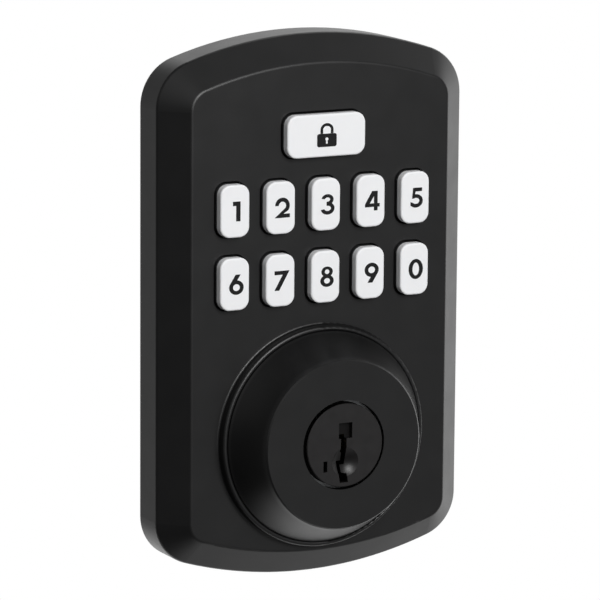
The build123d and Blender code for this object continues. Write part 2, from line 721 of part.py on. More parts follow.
def make_key_lights():
    width, height, thickness = LIGHT_SIZE
    lights = Part()
    for name, x, z, *_ in key_places():
        beside = name == "key_lock"
        place = (x + 2 * LIGHT_RISE, z) if beside else (x, z + LIGHT_RISE)
        lights += block(*place, width, height, BOARD_FRONT, BOARD_FRONT + thickness)
    return lights


def make_chip(x, z, width, height, thickness):
    chip = block(x, z, width, height, BOARD_BACK - thickness, BOARD_BACK)
    return chamfer(edges_at(chip, BOARD_BACK - thickness), CHIP_EDGE)


def make_buzzer():
    x, z = BUZZER_PLACE
    port_r, port_depth = BUZZER_PORT
    lid = BOARD_BACK - BUZZER_HEIGHT
    can = rod(x, z, BUZZER_R, lid, BOARD_BACK)
    can = fillet(edges_at(can, lid), BUZZER_EDGE_R)
    return can - rod(x, z, port_r, lid - BORED, lid + port_depth)


def make_cable_socket():
    """An open-fronted socket whose mouth faces down, towards the outlet."""
    middle = BOARD_BACK - SOCKET_DEPTH / 2
    socket = block(0, SOCKET_Z, SOCKET_WIDTH, SOCKET_HEIGHT, BOARD_BACK - SOCKET_DEPTH, BOARD_BACK)
    width, thick = SOCKET_SLOT
    mouth_z = SOCKET_Z - SOCKET_HEIGHT / 2
    return socket - block(0, mouth_z, width, SOCKET_HEIGHT, middle - thick / 2, middle + thick / 2)


# ---------------------------------------------------------------- key cylinder


def sidebar_depths():
    """Back and front of the sidebar, centred on the tumblers."""
    middle = FIRST_TUMBLER - TUMBLER_PITCH * (TUMBLERS - 1) / 2
    return middle - SIDEBAR_LENGTH / 2, middle + SIDEBAR_LENGTH / 2


def tumbler_depths():
    return [FIRST_TUMBLER - TUMBLER_PITCH * index for index in range(TUMBLERS)]


def sidebar_groove():
    """Room for the extended sidebar, at the left of the bore."""
    reach = -SIDEBAR_X[0] + SIDEBAR_TRAVEL + SIDEBAR_GROOVE_GAP
    back, front = sidebar_depths()
    gap = SIDEBAR_GROOVE_GAP
    return block(-reach / 2, 0, reach, 2 * SIDEBAR_GROOVE_HALF, back - gap, front + gap)


def make_cylinder_body():
    ears = Circle(FLANGE_R)
    for x, z in clamp_screw_places():
        ears += make_hull([Circle(EAR_ROOT_R).edge(), (Pos(x, z) * Circle(EAR_R)).edge()])
    for x, z in post_places():
        ears -= Pos(x, z) * Circle(POST_BOSS_R + EAR_GAP)
    body = rod(0, 0, BODY_R, BODY_BACK, BODY_FRONT) + plate(ears, FLANGE_REAR, INNER_FRONT)
    body -= rod(0, 0, PLUG_R + TURN_GAP, BODY_BACK - BORED, BODY_FRONT + BORED)
    body -= rod(0, 0, PLUG_HEAD_R + TURN_GAP, PLUG_SHOULDER - TURN_GAP, BODY_FRONT + BORED)
    body -= sidebar_groove()
    body -= Rot(0, 90, 0) * sidebar_groove()
    for x, z in clamp_screw_places():
        body -= rod(x, z, CLAMP_SCREW_R + SCREW_GAP, FLANGE_REAR - BORED, INNER_FRONT + BORED)
    screw_end = BODY_BACK + CAP_SCREW_GRIP + HOLE_SPARE
    for x, z in cap_screw_places():
        body -= rod(x, z, CAP_SCREW_R + THREAD_FIT, BODY_BACK - BORED, screw_end)
    return body - make_body_drill_pins(THREAD_FIT)


def make_body_drill_pins(grow=0.0):
    pins = Part()
    for angle in (90, 180):
        x, z = clock(BODY_DRILL_PIN_CIRCLE, angle)
        pins += rod(x, z, DRILL_PIN_R + grow, BODY_FRONT - BODY_DRILL_PIN_LENGTH - grow, BODY_FRONT + grow)
    return pins


def upright(x, depth, radius, low, high):
    """A round rod standing along Z."""
    return Pos(x, -depth, (low + high) / 2) * Cylinder(radius, high - low)


def sideways(depth, radius, left, right):
    """A round rod lying along X, on the cylinder's level."""
    return Pos((left + right) / 2, -depth, 0) * Rot(0, 90, 0) * Cylinder(radius, right - left)


def make_plug_drill_pins(grow=0.0):
    low, high = PLUG_DRILL_PIN_Z
    pins = Part()
    for x in PLUG_DRILL_PIN_XS:
        pins += upright(x, PLUG_DRILL_PIN_DEPTH, DRILL_PIN_R + grow, low - grow, high + grow)
    return pins


def sidebar_spring_depths():
    depths = tumbler_depths()
    return [(depths[0] + depths[1]) / 2, (depths[-1] + depths[-2]) / 2]


def make_plug():
    plug = rod(0, 0, PLUG_R, BODY_BACK, PLUG_SHOULDER) + rod(0, 0, PLUG_HEAD_R, PLUG_SHOULDER, PLUG_FACE)
    plug = chamfer(edges_at(plug, PLUG_FACE), PLUG_EDGE)
    plug += rod(0, 0, NECK_R, NECK_END, BODY_BACK)
    clip_front = BODY_BACK - CLIP_GAP
    groove_back = clip_front - CLIP_THICKNESS - CLIP_GROOVE_GAP
    plug -= plate(rings(NECK_R + BORED, CLIP_SEAT_R), groove_back, clip_front + CLIP_GROOVE_GAP)
    for middle in (90, 270):
        plug += plate(sector(*LUG_R, middle, PLUG_LUG_ANGLE), NECK_END - LUG_LENGTH, NECK_END + JOINED)

    plug -= plate(make_face(Polyline(*KEYWAY, close=True)), KEYWAY_BACK, PLUG_FACE + BORED)
    ball_r = (KEY_DISH_R**2 + KEY_DISH_DEPTH**2) / (2 * KEY_DISH_DEPTH)
    dish_x, dish_z = KEY_DISH_PLACE
    plug -= Pos(dish_x, -(PLUG_FACE - KEY_DISH_DEPTH + ball_r), dish_z) * Sphere(ball_r)
    width, height, deep = FACE_RECESS
    plug -= block(*FACE_RECESS_PLACE, width, height, PLUG_FACE - deep, PLUG_FACE + BORED)
    width, height, deep = RESET_SLOT
    plug -= block(*RESET_SLOT_PLACE, width, height, PLUG_FACE - deep, PLUG_FACE + BORED)

    wafer_left, wafer_right = WAFER_X
    wafer_low, wafer_high = WAFER_Z
    pocket_low = wafer_low - WAFER_GAP
    pocket_high = wafer_high + TUMBLER_TRAVEL + WAFER_GAP
    pocket_x = (wafer_left - WAFER_GAP + PIN_X) / 2
    seat_top = SPRING_SEAT_Z + SPRING_SEAT_SPARE
    for depth in tumbler_depths():
        plug -= upright(PIN_X, depth, PIN_R + PIN_GAP, PIN_BOTTOM - PIN_GAP, seat_top)
        half = WAFER_THICKNESS / 2 + WAFER_GAP
        pocket_width = PIN_X - wafer_left + WAFER_GAP
        middle = (pocket_low + pocket_high) / 2
        plug -= block(pocket_x, middle, pocket_width, pocket_high - pocket_low, depth - half, depth + half)
    plug -= spring_cover_block(SPRING_COVER_GAP, PLUG_R + BORED)

    back, front = sidebar_depths()
    slot_right = SIDEBAR_X[1] + SIDEBAR_GAP
    slot_left = -PLUG_R - BORED
    plug -= block(
        (slot_left + slot_right) / 2,
        0,
        slot_right - slot_left,
        2 * (SIDEBAR_HALF + SIDEBAR_GAP),
        back - SIDEBAR_END_GAP,
        front + SIDEBAR_END_GAP,
    )
    spring_end = SIDEBAR_X[1] + SIDEBAR_SPRING_DEEP
    for depth in sidebar_spring_depths():
        plug -= sideways(depth, SIDEBAR_SPRING_R + SPRING_GAP, SIDEBAR_X[1], spring_end)
    return plug - make_plug_drill_pins(THREAD_FIT)


def spring_cover_block(gap, radius):
    """The strip over the springs, with its outer side rounded to the plug."""
    depths = tumbler_depths()
    width = SPRING_COVER_WIDTH + 2 * gap
    tall = radius - SPRING_SEAT_Z
    reach = PIN_R + SPRING_COVER_END + gap
    back = depths[-1] - reach
    front = depths[0] + reach
    strip = block(PIN_X, SPRING_SEAT_Z + tall / 2, width, tall, back, front)
    return strip & rod(0, 0, radius, back - BORED, front + BORED)


def make_spring_cover():
    return spring_cover_block(0.0, PLUG_R - SPRING_COVER_GAP)


def make_key_pin(depth):
    """A round pin with a blunt point that rides on the key."""
    pin = upright(PIN_X, depth, PIN_R, PIN_BOTTOM, PIN_BOTTOM + PIN_LENGTH)
    pin = chamfer(pin.edges().sort_by(Axis.Z)[0], PIN_POINT, PIN_POINT_RISE)
    waist = upright(PIN_X, depth, PIN_R + BORED, -PIN_WAIST, PIN_WAIST)
    waist -= upright(PIN_X, depth, PIN_R - PIN_WAIST, -BORED, BORED)
    return pin - waist


def make_wafer(depth):
    """A flat wafer beside its pin, with the notch that the sidebar falls into."""
    left, right = WAFER_X
    low, high = WAFER_Z
    half = WAFER_THICKNESS / 2
    middle_x = (left + right) / 2
    notch_z = low + (high - low) / 4
    wafer = block(middle_x, (low + high) / 2, right - left, high - low, depth - half, depth + half)
    return wafer - block(left, notch_z, 2 * NOTCH_DEPTH, NOTCH_HEIGHT, depth - half, depth + half)


def make_tumbler_springs():
    springs = Part()
    low = PIN_BOTTOM + PIN_LENGTH
    radius = PIN_R - SPRING_GAP
    for depth in tumbler_depths():
        tube = upright(PIN_X, depth, radius, low, SPRING_SEAT_Z)
        springs += tube - upright(PIN_X, depth, radius - SPRING_WALL, low - BORED, SPRING_SEAT_Z + BORED)
    return springs


def make_sidebar():
    """A bar with a narrowed nose that drops into the groove of the body."""
    left, right = SIDEBAR_X
    back, front = sidebar_depths()
    nose = left + SIDEBAR_NOSE
    section = make_face(
        Polyline(
            (right, SIDEBAR_HALF),
            (nose, SIDEBAR_HALF),
            (left, SIDEBAR_NOSE_HALF),
            (left, -SIDEBAR_NOSE_HALF),
            (nose, -SIDEBAR_HALF),
            (right, -SIDEBAR_HALF),
            close=True,
        )
    )
    return plate(section, back, front)


def make_sidebar_springs():
    springs = Part()
    left = SIDEBAR_X[1]
    right = left + SIDEBAR_SPRING_DEEP
    for depth in sidebar_spring_depths():
        tube = sideways(depth, SIDEBAR_SPRING_R, left, right)
        inside = SIDEBAR_SPRING_R - SIDEBAR_SPRING_WALL
        springs += tube - sideways(depth, inside, left - BORED, right + BORED)
    return springs


def make_plug_retainer():
    front = BODY_BACK - CLIP_GAP
    clip = plate(rings(CLIP_R, CLIP_SEAT_R), front - CLIP_THICKNESS, front)
    return clip - block(0, -CLIP_R, CLIP_MOUTH, 2 * CLIP_R, front - 2 * CLIP_THICKNESS, front + BORED)


def make_torque_blade():
    """A lugged disc, driven after a quarter turn of free play, and a long flat blade."""
    blade = rod(0, 0, LUG_R[1], BLADE_DISC_BACK, BLADE_DISC_FRONT)
    blade += rod(0, 0, BLADE_HUB_R, BLADE_DISC_FRONT - JOINED, NECK_END - LUG_SLACK)
    for middle in (BLADE_START_ANGLE, BLADE_START_ANGLE + 180):
        lug = sector(BLADE_HUB_R - BLADE_LUG_ROOT, LUG_R[1], middle, BLADE_LUG_ANGLE)
        blade += plate(lug, BLADE_DISC_FRONT - JOINED, NECK_END - LUG_SLACK)
    blade += rod(0, 0, BLADE_NECK_R, BLADE_DISC_BACK - BLADE_NECK_LENGTH, BLADE_DISC_BACK)
    bar = RectangleRounded(BLADE_THICKNESS, BLADE_WIDTH, BLADE_THICKNESS / 3)
    blade += plate(bar, -BLADE_REACH, BLADE_DISC_BACK)
    return blade


def make_cylinder_cap():
    cap = rod(0, 0, CAP_R, CAP_BACK, BODY_BACK)
    cap -= rod(0, 0, CAP_INNER_R, CAP_WALL_FRONT, BODY_BACK + BORED)
    cap -= rod(0, 0, CAP_MOUTH_R, CAP_BACK - BORED, BODY_BACK + BORED)
    for x, z in cap_screw_places():
        cap -= rod(x, z, CAP_SCREW_R + SCREW_GAP, CAP_BACK - BORED, BODY_BACK + BORED)
    return cap


def make_all():
    pieces = {
        "escutcheon": make_escutcheon(),
        "cylinder_guard": make_cylinder_guard(),
        "guard_seal": make_guard_seal(),
        "escutcheon_gasket": make_escutcheon_gasket(),
        "back_cover": make_back_cover(),
        "back_cover_screws": make_back_cover_screws(),
        "adapter_ring": make_adapter_ring(),
        "mounting_posts": make_mounting_posts(),
        "keypad_mat": make_keypad_mat(),
        "key_domes": make_key_domes(),
        "keypad_board": make_keypad_board(),
        "board_contacts": make_board_contacts(),
        "key_lights": make_key_lights(),
        "buzzer": make_buzzer(),
        "cable_socket": make_cable_socket(),
        "board_screws": make_board_screws(),
        "cylinder_screws": make_cylinder_screws(),
        "cylinder_body": make_cylinder_body(),
        "body_drill_pins": make_body_drill_pins(),
        "plug": make_plug(),
        "plug_drill_pins": make_plug_drill_pins(),
        "spring_cover": make_spring_cover(),
        "tumbler_springs": make_tumbler_springs(),
        "sidebar": make_sidebar(),
        "sidebar_springs": make_sidebar_springs(),
        "plug_retainer": make_plug_retainer(),
        "torque_blade": make_torque_blade(),
        "cylinder_cap": make_cylinder_cap(),
        "cap_screws": make_cap_screws(),
    }
    for name, size in CHIPS.items():
        pieces[name] = make_chip(*size)
    for name, *shape in key_places():
        pieces[name] = make_key(*shape)
    for number, depth in enumerate(tumbler_depths(), start=1):
        pieces[f"key_pin_{number}"] = make_key_pin(depth)
        pieces[f"wafer_{number}"] = make_wafer(depth)
    return pieces


os.makedirs("parts", exist_ok=True)
for name, piece in make_all().items():
    export_step(piece, f"parts/{name}.step")
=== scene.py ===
import json
import math

import bpy
import numpy as np
from mathutils import Matrix, Vector


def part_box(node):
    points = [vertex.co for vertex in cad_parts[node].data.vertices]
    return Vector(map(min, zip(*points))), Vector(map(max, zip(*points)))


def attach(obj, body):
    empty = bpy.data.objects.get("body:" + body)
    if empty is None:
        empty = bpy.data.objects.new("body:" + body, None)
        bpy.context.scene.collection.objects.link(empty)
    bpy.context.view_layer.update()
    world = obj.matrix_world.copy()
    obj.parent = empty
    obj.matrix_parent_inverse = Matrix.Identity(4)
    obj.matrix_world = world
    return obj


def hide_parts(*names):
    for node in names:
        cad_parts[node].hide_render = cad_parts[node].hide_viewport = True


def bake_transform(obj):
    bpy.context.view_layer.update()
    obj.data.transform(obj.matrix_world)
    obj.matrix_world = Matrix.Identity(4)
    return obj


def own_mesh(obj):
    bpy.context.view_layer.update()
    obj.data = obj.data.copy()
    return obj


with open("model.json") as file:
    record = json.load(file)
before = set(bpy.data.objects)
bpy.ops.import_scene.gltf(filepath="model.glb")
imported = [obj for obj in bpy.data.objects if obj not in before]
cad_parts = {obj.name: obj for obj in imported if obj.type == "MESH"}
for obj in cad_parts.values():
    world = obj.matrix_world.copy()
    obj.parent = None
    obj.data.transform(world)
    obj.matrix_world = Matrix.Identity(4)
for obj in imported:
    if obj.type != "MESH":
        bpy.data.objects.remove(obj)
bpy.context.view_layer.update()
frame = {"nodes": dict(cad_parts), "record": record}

# A keypad deadbolt lock, outside assembly. The frame is in metres: +X right, +Z up, the front faces -Y,
# and the origin is where the key cylinder's axis meets the door.

nodes = frame["nodes"]
MM = 0.001
DIGITS = "1234567890"
GUARD_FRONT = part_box("cylinder_guard")[0][1]
PLUG_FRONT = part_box("plug")[0][1]
PLUG_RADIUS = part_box("plug")[1][0]
COVER_FACE = -12.6 * MM  # the flat the keys stand out of
BEAD_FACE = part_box("escutcheon")[0][1]  # front of the bead round the collar

# ------------------------------------------------------------------ node helpers

RADIUS_FADE = 0.08 * MM


class Finish:
    """A material with a Principled shader, and short calls for the patterns on it."""

    def __init__(self, name, colour, roughness, metallic=0.0):
        self.material = bpy.data.materials.new(name)
        self.material.use_nodes = True
        self.tree = self.material.node_tree
        self.shader = self.tree.nodes["Principled BSDF"]
        self.colour = (*colour, 1.0)
        self.roughness = roughness
        self.set("Base Color", self.colour)
        self.set("Roughness", roughness)
        self.set("Metallic", metallic)
        self.place = self.node("ShaderNodeTexCoord").outputs["Object"]
        self.height = None

    def node(self, kind, **values):
        made = self.tree.nodes.new(kind)
        for key, value in values.items():
            setattr(made, key, value)
        return made

    def link(self, source, target):
        self.tree.links.new(source, target)

    def set(self, socket, value):
        self.shader.inputs[socket].default_value = value

    def mapping(self, scale=(1, 1, 1), turn=(0, 0, 0)):
        """Object coordinates, turned and scaled."""
        made = self.node("ShaderNodeMapping")
        made.inputs["Rotation"].default_value = turn
        made.inputs["Scale"].default_value = scale
        self.link(self.place, made.inputs["Vector"])
        return made.outputs["Vector"]

    def noise(self, size_mm, detail=2.0, where=None):
        """Cloudy noise whose patches are about size_mm across, from 0 to 1."""
        made = self.node("ShaderNodeTexNoise")
        made.inputs["Scale"].default_value = 1000.0 / size_mm
        made.inputs["Detail"].default_value = detail
        self.link(where or self.place, made.inputs["Vector"])
        return made.outputs["Fac"]

    def spread(self, value, low, high, start=0.3, end=0.7):
        """Stretches a pattern from start..end to low..high."""
        made = self.node("ShaderNodeMapRange")
        made.inputs["From Min"].default_value = start
        made.inputs["From Max"].default_value = end
        made.inputs["To Min"].default_value = low
        made.inputs["To Max"].default_value = high
        self.link(value, made.inputs["Value"])
        return made.outputs["Result"]

    def maths(self, operation, first, second=None):
        made = self.node("ShaderNodeMath", operation=operation)
        for socket, value in zip(made.inputs, (first, second)):
            if value is None:
                continue
            if isinstance(value, (int, float)):
                socket.default_value = value
            else:
                self.link(value, socket)
        return made.outputs[0]

    def blend(self, amount, first, second):
        """Two colours mixed by a pattern."""
        made = self.node("ShaderNodeMix", data_type="RGBA")
        self.link(amount, made.inputs["Factor"])
        for socket, value in ((made.inputs[6], first), (made.inputs[7], second)):
            if isinstance(value, tuple):
                socket.default_value = (*value[:3], 1.0)
            else:
                self.link(value, socket)
        return made.outputs[2]

    def paint(self, colour):
        self.link(colour, self.shader.inputs["Base Color"])

    def painted(self):
        """The colour that the shader is given so far."""
        return self.shader.inputs["Base Color"].links[0].from_socket

    def tone(self, pattern, depth):
        """Lets the base colour drift up and down by a share of itself."""
        low = tuple(c * (1 - depth) for c in self.colour[:3])
        high = tuple(min(1.0, c * (1 + depth)) for c in self.colour[:3])
        self.paint(self.blend(pattern, low, high))

    def beside_axis(self, radius, side):
        """1 on one side of a radius round the cylinder's axis: side is +1 outside it and -1 inside."""
        flat = self.node("ShaderNodeVectorMath", operation="MULTIPLY")
        flat.inputs[1].default_value = (1, 0, 1)
        self.link(self.place, flat.inputs[0])
        length = self.node("ShaderNodeVectorMath", operation="LENGTH")
        self.link(flat.outputs[0], length.inputs[0])
        return self.spread(length.outputs["Value"], 0.0, 1.0, radius, radius + side * RADIUS_FADE)

    def deeper_than(self, level, ramp=0.1 * MM):
        """0 in front of a level along Y and 1 behind it, after a ramp."""
        parts = self.node("ShaderNodeSeparateXYZ")
        self.link(self.place, parts.inputs[0])
        return self.spread(parts.outputs["Y"], 0.0, 1.0, level, level + ramp)

    def darken(self, amount):
        """Takes away colour and shine where no light is meant to reach."""
        self.paint(self.blend(amount, self.painted(), (0.0004, 0.0003, 0.0002)))
        self.link(self.spread(amount, 0.5, 0.02, 0.0, 1.0), self.shader.inputs["Specular IOR Level"])

    def rough(self, pattern, depth):
        low = self.roughness * (1 - depth)
        high = self.roughness * (1 + depth)
        self.link(self.spread(pattern, low, high), self.shader.inputs["Roughness"])

    def bump(self, pattern, height_mm):
        """Raises the surface by a pattern; height_mm is the full height of it."""
        made = self.node("ShaderNodeBump")
        made.inputs["Strength"].default_value = 1.0
        made.inputs["Distance"].default_value = height_mm * MM
        self.link(pattern, made.inputs["Height"])
        if self.height is not None:
            self.link(self.height, made.inputs["Normal"])
        self.height = made.outputs["Normal"]
        self.link(self.height, self.shader.inputs["Normal"])


# ------------------------------------------------------------------ finishes


OPENING_SPARE = 0.9 * MM  # how far past the plug the painted shade of its opening reaches
COLLAR_SHADE = 0.32  # painted shade: how much darker the collar's slope is painted than its face, standing in for its shade and dark reflection


def powder_coat():
    """Fine matte powder coat: very dark, with a faint orange-peel skin and soft cloudy gloss. Painted shade
    darkens it inside the opening round the plug and on the collar's slope.
    """
    made = Finish("powder_coat", (0.0042, 0.0042, 0.0044), 0.42)
    made.set("IOR", 1.5)
    made.tone(made.noise(9.0), 0.15)
    made.rough(made.noise(6.0, 3.0), 0.05)
    made.bump(made.noise(0.9, 2.0), 0.0012)
    made.bump(made.noise(0.22, 1.0), 0.0006)
    # Painted shade: near black and without shine inside the opening round the plug, where shade falls.
    opening = made.beside_axis(PLUG_RADIUS + OPENING_SPARE, -1)
    opening = made.maths("MULTIPLY", opening, made.deeper_than(GUARD_FRONT + 0.1 * MM))
    # Painted shade and reflection: the collar's slope, behind its front edge and in front of the bead, is
    # painted darker by COLLAR_SHADE.
    behind_edge = made.deeper_than(GUARD_FRONT + 0.7 * MM, 0.8 * MM)
    slope = made.maths("SUBTRACT", behind_edge, made.deeper_than(BEAD_FACE - 0.6 * MM, 0.4 * MM))
    made.darken(made.maths("MAXIMUM", opening, made.maths("MULTIPLY", slope, COLLAR_SHADE)))
    return made


def plug_coat():
    """The same black over turned brass, whose brass shows in the depth of the real keyway. Painted shade
    makes the plug's rim in the gap, the dish of its face and the keyway near black.
    """
    made = Finish("plug_coat", (0.0096, 0.0088, 0.0091), 0.38)
    made.tone(made.noise(3.0), 0.2)
    made.rough(made.noise(2.0, 3.0), 0.08)
    made.bump(made.noise(0.25, 2.0), 0.0008)
    # Painted shade: the rim in the gap round the plug, the dish of the face deeper in and the keyway are
    # painted near black where shade falls.
    edge = made.beside_axis(PLUG_RADIUS - 0.22 * MM, 1)
    rim = made.maths("MULTIPLY", edge, made.deeper_than(PLUG_FRONT + 0.12 * MM))
    dish = made.deeper_than(PLUG_FRONT + 0.2 * MM, 1.6 * MM)
    keyway = made.deeper_than(PLUG_FRONT + 1.25 * MM)
    made.darken(made.maths("MAXIMUM", rim, made.maths("MAXIMUM", keyway, dish)))
    return made


def key_rubber():
    """Soft white silicone with a satin skin and a faint bloom, with painted shade round its foot."""
    made = Finish("key_rubber", (0.845, 0.85, 0.862), 0.48)
    made.set("Subsurface Weight", 0.12)
    made.set("Subsurface Radius", (0.9, 0.85, 0.8))
    made.set("Subsurface Scale", 0.4 * MM)
    made.set("Specular IOR Level", 0.4)
    made.tone(made.noise(4.0, 3.0), 0.012)
    made.rough(made.noise(1.5, 2.0), 0.06)
    made.bump(made.noise(0.15, 2.0), 0.0008)
    # Painted shade: the key's foot near the cover's face is painted near black, standing in for the shadow
    # in the gap round it.
    foot = made.deeper_than(COVER_FACE - 0.6 * MM, 0.2 * MM)
    made.paint(made.blend(foot, made.painted(), (0.03, 0.03, 0.031)))
    return made


def ink():
    """Dense black ink, a little uneven at the scale of its grain."""
    made = Finish("ink", (0.005, 0.005, 0.0055), 0.6)
    made.set("Specular IOR Level", 0.25)
    made.tone(made.noise(0.4, 3.0), 0.25)
    made.rough(made.noise(0.3, 2.0), 0.1)
    made.bump(made.noise(0.12, 1.0), 0.0006)
    return made


def silicone():
    """Milky translucent silicone of the mat and its domes."""
    made = Finish("silicone", (0.74, 0.76, 0.78), 0.38)
    made.set("Subsurface Weight", 0.35)
    made.set("Subsurface Radius", (1.0, 1.0, 1.0))
    made.set("Subsurface Scale", 0.8 * MM)
    made.tone(made.noise(5.0), 0.04)
    made.rough(made.noise(1.2), 0.12)
    made.bump(made.noise(0.3), 0.001)
    return made


def seal_rubber():
    """Black rubber with a dusty, mottled skin."""
    made = Finish("seal_rubber", (0.012, 0.012, 0.0125), 0.55)
    made.tone(made.noise(1.5, 3.0), 0.3)
    made.rough(made.noise(0.8), 0.12)
    made.bump(made.noise(0.15, 2.0), 0.0015)
    return made


def foam():
    """Closed-cell foam: small round cells cut open at the surface."""
    made = Finish("foam", (0.022, 0.022, 0.023), 0.92)
    cells = made.node("ShaderNodeTexVoronoi", feature="F1")
    cells.inputs["Scale"].default_value = 1000.0 / 0.32
    made.link(made.place, cells.inputs["Vector"])
    pits = cells.outputs["Distance"]
    # Painted shade: each cut-open cell is painted darker towards its middle, where its pit is deepest.
    depth = made.spread(pits, 0.0, 1.0, 0.1, 0.6)
    made.paint(made.blend(depth, (0.008, 0.008, 0.009), (0.035, 0.035, 0.037)))
    made.bump(pits, 0.08)
    made.bump(made.noise(2.5), 0.03)
    return made


def moulded_plastic(name, colour, roughness=0.45, grain_mm=0.28):
    """Moulded plastic with a fine spark-eroded grain."""
    made = Finish(name, colour, roughness)
    made.tone(made.noise(12.0, 3.0), 0.08)
    made.rough(made.noise(2.0, 3.0), 0.1)
    made.bump(made.noise(grain_mm, 3.0), 0.012)
    return made


def circuit_board():
    """Green solder mask over copper: straight tracks, with round vias between them."""
    made = Finish("circuit_board", (0.012, 0.11, 0.055), 0.3)
    made.set("Coat Weight", 0.4)
    tracks = made.node("ShaderNodeTexBrick")
    tracks.offset = 0.37
    tracks.inputs["Scale"].default_value = 1.0
    tracks.inputs["Mortar Size"].default_value = 0.012
    tracks.inputs["Mortar Smooth"].default_value = 0.0
    tracks.inputs["Brick Width"].default_value = 0.42
    tracks.inputs["Row Height"].default_value = 0.09
    tracks.inputs["Color1"].default_value = (0, 0, 0, 1)
    tracks.inputs["Color2"].default_value = (0, 0, 0, 1)
    tracks.inputs["Mortar"].default_value = (1, 1, 1, 1)
    made.link(made.mapping(scale=(100, 100, 100), turn=(math.pi / 2, 0, 0)), tracks.inputs["Vector"])
    vias = made.node("ShaderNodeTexVoronoi", feature="F1")
    vias.inputs["Scale"].default_value = 1000.0 / 4.5
    made.link(made.place, vias.inputs["Vector"])
    dots = made.spread(vias.outputs["Distance"], 1.0, 0.0, 0.07, 0.09)
    copper = made.maths("MAXIMUM", tracks.outputs["Color"], dots)
    made.paint(made.blend(copper, (0.010, 0.085, 0.045), (0.03, 0.2, 0.09)))
    made.bump(copper, 0.03)
    made.rough(made.noise(3.0), 0.1)
    return made


def metal(name, colour, roughness, brushing=(1, 1, 1), grain_mm=0.4, mottling=0.12):
    """Bare metal whose grain is stretched along one way, so that it looks drawn, turned or brushed."""
    made = Finish(name, colour, roughness, metallic=1.0)
    lines = made.noise(grain_mm, 4.0, made.mapping(scale=brushing))
    made.tone(made.noise(2.5, 4.0), mottling)
    made.rough(lines, 0.22)
    made.bump(lines, 0.0025)
    return made


def die_casting():
    """Raw zinc casting: dull, mottled, with a tumbled skin."""
    made = Finish("die_casting", (0.46, 0.47, 0.48), 0.42, metallic=1.0)
    made.tone(made.noise(3.5, 5.0), 0.25)
    made.rough(made.noise(1.2, 4.0), 0.2)
    made.bump(made.noise(0.6, 4.0), 0.012)
    return made


def light_chip():
    """A white lamp chip with its yellow phosphor in the middle."""
    made = Finish("light_chip", (0.9, 0.88, 0.7), 0.25)
    made.tone(made.noise(0.5, 2.0), 0.1)
    made.bump(made.noise(0.2), 0.002)
    return made


def make_finishes():
    return {
        "powder_coat": powder_coat(),
        "plug_finish": plug_coat(),
        "key_white": key_rubber(),
        "key_silicone": silicone(),
        "rubber": seal_rubber(),
        "foam": foam(),
        "black_plastic": moulded_plastic("black_plastic", (0.018, 0.018, 0.019)),
        "socket_plastic": moulded_plastic("socket_plastic", (0.72, 0.68, 0.55), 0.4, 0.2),
        "chip_package": moulded_plastic("chip_package", (0.02, 0.02, 0.022), 0.55, 0.15),
        "light_chip": light_chip(),
        "circuit_board": circuit_board(),
        "gilt": metal("gilt", (0.85, 0.62, 0.28), 0.22, mottling=0.06),
        "brass": metal("brass", (0.72, 0.52, 0.24), 0.3, brushing=(1, 1, 0.15), grain_mm=0.15),
        "die_cast_zinc": die_casting(),
        "screw_steel": metal("screw_steel", (0.6, 0.6, 0.62), 0.3, brushing=(1, 0.2, 1), grain_mm=0.3),
        "hard_steel": metal("hard_steel", (0.3, 0.3, 0.32), 0.28, brushing=(1, 0.2, 1), grain_mm=0.2),
        "spring_steel": metal("spring_steel", (0.5, 0.5, 0.52), 0.25, grain_mm=0.1),
        "ink": ink(),
    }


def wear(obj, finish):
    """Gives a piece one material all over."""
    obj.data.materials.clear()
    obj.data.materials.append(finish.material)


def new_piece(name, mesh, finish, body):
    """A finished piece: an object at the origin, with its place in its mesh, riding on a body."""
    piece = bpy.data.objects.new(name, mesh)
    bpy.context.scene.collection.objects.link(piece)
    wear(piece, finish)
    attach(piece, body)
    return piece


# ------------------------------------------------------------------ figures on the keys

FIGURE_HEIGHT = 4.1 * MM
FIGURE_SHIFT = 0.3 * MM  # printed a little right of the key's middle
SIGN_HEIGHT = 4.715 * MM
INK_THICKNESS = 0.03 * MM


def bow(x, z, rx, rz, start, end, steps=28):
    """Points round an ellipse: centre plus (rx cos a, rz sin a), with a from start to end in degrees."""
    a = np.radians(np.linspace(start, end, steps))
    return np.stack([x + rx * np.cos(a), z + rz * np.sin(a)], axis=1)


